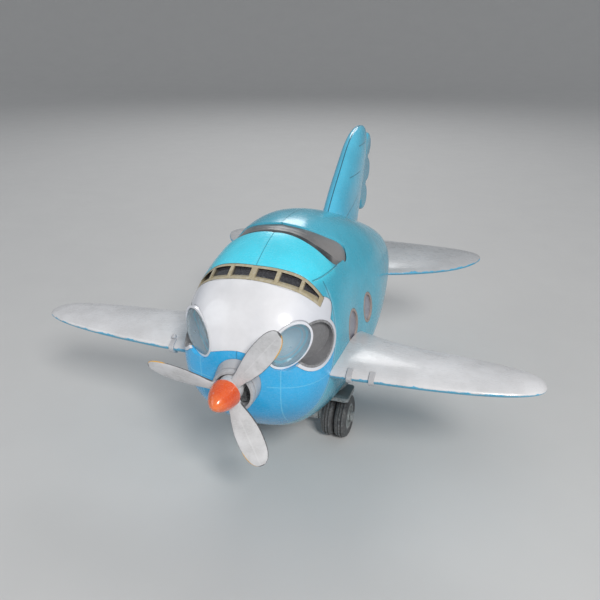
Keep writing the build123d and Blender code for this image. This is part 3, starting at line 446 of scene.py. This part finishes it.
def vent_paint():
    """Warm grey panel behind a groove darkened with painted shadow, with a few faint louvre lines."""
    s = Shader("vent_paint", Coat_Weight=0.1, Coat_Roughness=0.2)
    outer = s.math("MAXIMUM", s.math("SUBTRACT", s.side, 15.0), 0.0)
    bow = s.math("MULTIPLY", s.math("MULTIPLY", outer, outer), 0.045)
    behind = s.math("SUBTRACT", s.math("SUBTRACT", s.y, y_of(70.6)), bow)
    panel = s.step(behind, -0.15, 0.15)
    mottle = s.step(s.noise(0.3, 5.0, 0.6), 0.3, 0.7)
    raised = s.mix(mottle, (0.150, 0.148, 0.152), (0.105, 0.105, 0.110))
    raised = s.mix(s.step(s.side, 10.0, 26.0, 0.0, 0.7), raised, (0.30, 0.285, 0.285))
    # painted shadow: the groove ahead of the panel, under the hood's rear edge, is nearly black
    colour = s.mix(panel, (0.050, 0.052, 0.058), raised)
    first = s.line(s.math("SUBTRACT", behind, 2.2), 0.16)
    second = s.line(s.math("SUBTRACT", behind, 4.4), 0.16)
    louvres = s.all(s.any(first, second), s.step(s.side, 13.0, 14.5, 1.0, 0.0))
    return s.finish(colour, rough=(0.28, 0.46), grain=0.03, groove=louvres, edge=0.2, dust=0.08)


def floor_paint():
    s = Shader("floor_paint")
    colour = s.mix(s.noise(0.02, 4.0, 0.6), (0.60, 0.60, 0.60), (0.64, 0.64, 0.635))
    s.put(s.bsdf.inputs["Base Color"], colour)
    s.put(s.bsdf.inputs["Roughness"], s.step(s.noise(0.05, 4.0), 0.3, 0.7, 0.5, 0.62))
    return s.material


MATERIALS = {
    "blue_shell": blue_paint(),
    "white_panel": white_paint(),
    "wing_white": wing_paint("wing_paint", WING_HEIGHT, 0.15, 63.0, WING_WHITE),
    "wing_blue": plain("wing_under", (0.06, 0.36, 0.56), (0.22, 0.42), coat=0.3, second=(0.08, 0.42, 0.62)),
    "cream_trim": plain("cream_trim", (0.46, 0.39, 0.24), (0.26, 0.44), coat=0.2, edge=0.12,
                        second=(0.34, 0.28, 0.17)),
    "dark_glazing": plain("dark_glazing", (0.020, 0.020, 0.026), (0.10, 0.24), grain=0.01, coat=0.5, edge=0.0,
                          second=(0.045, 0.042, 0.05)),
    "pane_grey": plain("pane_grey", (0.19, 0.20, 0.27), (0.14, 0.30), coat=0.4, second=(0.27, 0.27, 0.34)),
    "rim_tan": plain("rim_tan", (0.36, 0.27, 0.23), (0.35, 0.52), second=(0.26, 0.22, 0.22)),
    "recess_grey": plain("recess_grey", (0.19, 0.19, 0.20), (0.35, 0.55), second=(0.24, 0.24, 0.25)),
    "vent_grey": vent_paint(),
    "lens_clear": lens_plastic(),
    "reflector": reflector_paint(),
    "cowl_grey": plain("cowl_grey", (0.50, 0.50, 0.52), (0.24, 0.42), coat=0.2, second=(0.40, 0.40, 0.42)),
    "intake_black": plain("intake_black", (0.018, 0.018, 0.02), (0.5, 0.7)),
    "prop_grey": blade_paint(),
    "spinner_red": spinner_paint(),
    "amber": plain("amber", (0.78, 0.34, 0.03), (0.16, 0.30), coat=0.4, second=(0.60, 0.24, 0.03)),
    "gear_grey": plain("gear_grey", (0.21, 0.235, 0.235), (0.32, 0.52), wear=0.4, dust=0.2,
                       second=(0.29, 0.31, 0.31)),
    "tyre": tyre_rubber(),
    "steel": metal("steel", (0.56, 0.56, 0.57), (0.22, 0.40)),
    "inner_plastic": plain("inner_plastic", (0.20, 0.20, 0.21), (0.5, 0.7)),
}
STAB_PAINT = wing_paint("stabilizer_paint", STAB_HEIGHT, 0.6, 199.0, SHADED_STAB_WHITE)
FIN_PAINT = fin_paint()
OVERRIDES = {
    "stabilizer_upper_left": STAB_PAINT,
    "stabilizer_upper_right": STAB_PAINT,
    "fin_left": FIN_PAINT,
    "fin_right": FIN_PAINT,
}


def paint_of(node):
    return OVERRIDES.get(node) or MATERIALS[SLOT_OF[node]]


# ---------------------------------------------------------------- mesh helpers
def bowl_mesh(name, rows):
    """A mesh through closed rows of points in mm, with the first row filled in."""
    work = bmesh.new()
    rings = [[work.verts.new(Vector(point) * MM) for point in row] for row in rows]
    count = len(rings[0])
    for one, other in zip(rings, rings[1:]):
        for index in range(count):
            follow = (index + 1) % count
            work.faces.new((one[index], one[follow], other[follow], other[index]))
    work.faces.new(list(reversed(rings[0])))
    bmesh.ops.recalc_face_normals(work, faces=work.faces)
    mesh = bpy.data.meshes.new(name)
    work.to_mesh(mesh)
    work.free()
    return mesh


# ---------------------------------------------------------------- studio
CAMERA_TARGET = Vector((0.0, -0.018, 0.0732))
CAMERA_DISTANCE = 0.3354
CAMERA_AZIMUTH = math.radians(18.85)
CAMERA_ELEVATION = math.radians(23.75)


def place_camera():
    data = bpy.data.cameras.new("camera")
    data.lens = 35.0
    data.sensor_width = 32.0
    data.clip_start = 0.01
    camera = bpy.data.objects.new("camera", data)
    bpy.context.scene.collection.objects.link(camera)
    flat = math.cos(CAMERA_ELEVATION)
    across = math.sin(CAMERA_AZIMUTH) * flat
    ahead = -math.cos(CAMERA_AZIMUTH) * flat
    way = Vector((across, ahead, math.sin(CAMERA_ELEVATION)))
    camera.location = CAMERA_TARGET + way * CAMERA_DISTANCE
    camera.rotation_euler = (-way).to_track_quat("-Z", "Y").to_euler()
    bpy.context.scene.camera = camera


def area_light(name, place, size, power, colour=(1.0, 1.0, 1.0)):
    data = bpy.data.lights.new(name, "AREA")
    data.shape = "DISK"
    data.size = size
    data.energy = power
    data.color = colour
    lamp = bpy.data.objects.new(name, data)
    bpy.context.scene.collection.objects.link(lamp)
    lamp.location = Vector(place)
    lamp.rotation_euler = (CAMERA_TARGET - lamp.location).to_track_quat("-Z", "Y").to_euler()


def studio_rings():
    """Rings in mm of a flat round floor that curves up into a wall."""
    flat, bend, steps, sides = 1500.0, 900.0, 16, 96
    profile = [(flat, 0.0)]
    for step in range(1, steps + 1):
        angle = math.pi / 2.0 * step / steps
        profile.append((flat + bend * math.sin(angle), bend * (1.0 - math.cos(angle))))
    rings = []
    for radius, height in profile:
        turn = [2.0 * math.pi * side / sides for side in range(sides)]
        rings.append([(radius * math.cos(angle), radius * math.sin(angle), height) for angle in turn])
    return rings


def build_studio():
    world = bpy.data.worlds.new("studio")
    world.use_nodes = True
    world.node_tree.nodes["Background"].inputs[0].default_value = (0.90, 0.93, 0.97, 1.0)
    world.node_tree.nodes["Background"].inputs[1].default_value = 0.34
    bpy.context.scene.world = world
    floor = bowl_mesh("floor", studio_rings())
    for polygon in floor.polygons:
        polygon.use_smooth = True
    floor.materials.append(floor_paint())
    floor_object = bpy.data.objects.new("floor", floor)
    bpy.context.scene.collection.objects.link(floor_object)
    area_light("key", (0.55, -0.75, 0.75), 0.30, 8.4, (1.0, 0.98, 0.95))
    area_light("fill", (-0.8, -0.6, 0.5), 0.7, 1.6, (0.90, 0.95, 1.0))
    area_light("rim", (-0.3, 0.9, 0.8), 0.5, 3.0)


for node, piece in NODES.items():
    piece.data.materials.clear()
    piece.data.materials.append(paint_of(node))

place_camera()
build_studio()
bpy.context.scene.view_settings.view_transform = "Standard"
